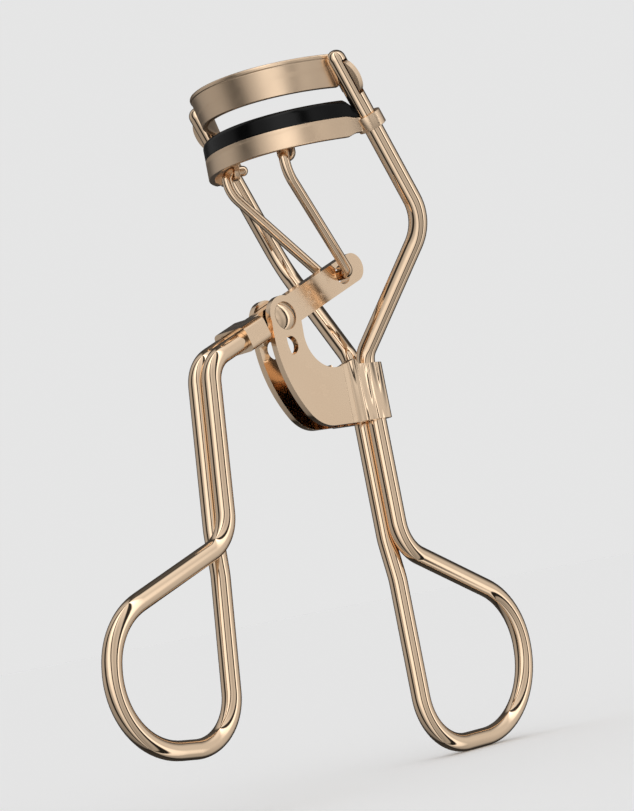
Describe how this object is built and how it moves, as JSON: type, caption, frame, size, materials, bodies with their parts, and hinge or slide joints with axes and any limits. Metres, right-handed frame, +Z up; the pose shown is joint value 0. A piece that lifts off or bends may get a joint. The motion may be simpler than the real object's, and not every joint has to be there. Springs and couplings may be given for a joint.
{
  "type": "eyelash curler",
  "caption": "Scissor-action eyelash curler: bent wire frame and lever with finger loops, fixed curved upper jaw and a sliding lower jaw with a rubber pad.",
  "frame": {"origin": "centre of the hole through both ears of the bracket, on the part's middle plane", "axes": "+X across the jaws from one post to the other, +Y from the lever side towards the frame's finger loop, +Z up along the frame's strands towards the jaws"},
  "size_m": [0.0352, 0.0845, 0.104],
  "materials": {
    "rose_gold": "polished rose-gold plating over steel",
    "black_rubber": "smooth, slightly glossy silicone rubber"
  },
  "bodies": {
    "frame": {"frame_wire": "rose_gold", "clamp_bracket": "rose_gold", "pivot_rivet": "rose_gold", "upper_jaw": "rose_gold"},
    "lever": {"lever_plate": "rose_gold", "lever_wire": "rose_gold"},
    "lower_jaw": {"lower_jaw": "rose_gold", "jaw_pad": "black_rubber"},
    "link": {"link_wire": "rose_gold"}
  },
  "joints": [
    {"name": "lever_pivot", "type": "hinge", "parent": "frame", "child": "lever", "pos_m": [0, 0, 0.0044], "axis": [1, 0, 0], "range_deg": [-26, 9]},
    {"name": "jaw_slide", "type": "slide", "parent": "frame", "child": "lower_jaw", "axis": [0, -0.4384, 0.8988], "range_m": [-0.0068, 0.00236]},
    {"name": "link_pivot", "type": "hinge", "parent": "lower_jaw", "child": "link", "pos_m": [0, 0.00316, 0.02785], "axis": [1, 0, 0], "range_deg": [-4.6, 1.6]}
  ],
  "couplings": [
    {"joint": "jaw_slide", "follows": "lever_pivot", "m_per_rad": 0.0149},
    {"joint": "link_pivot", "follows": "lever_pivot", "ratio": 0.17}
  ]
}
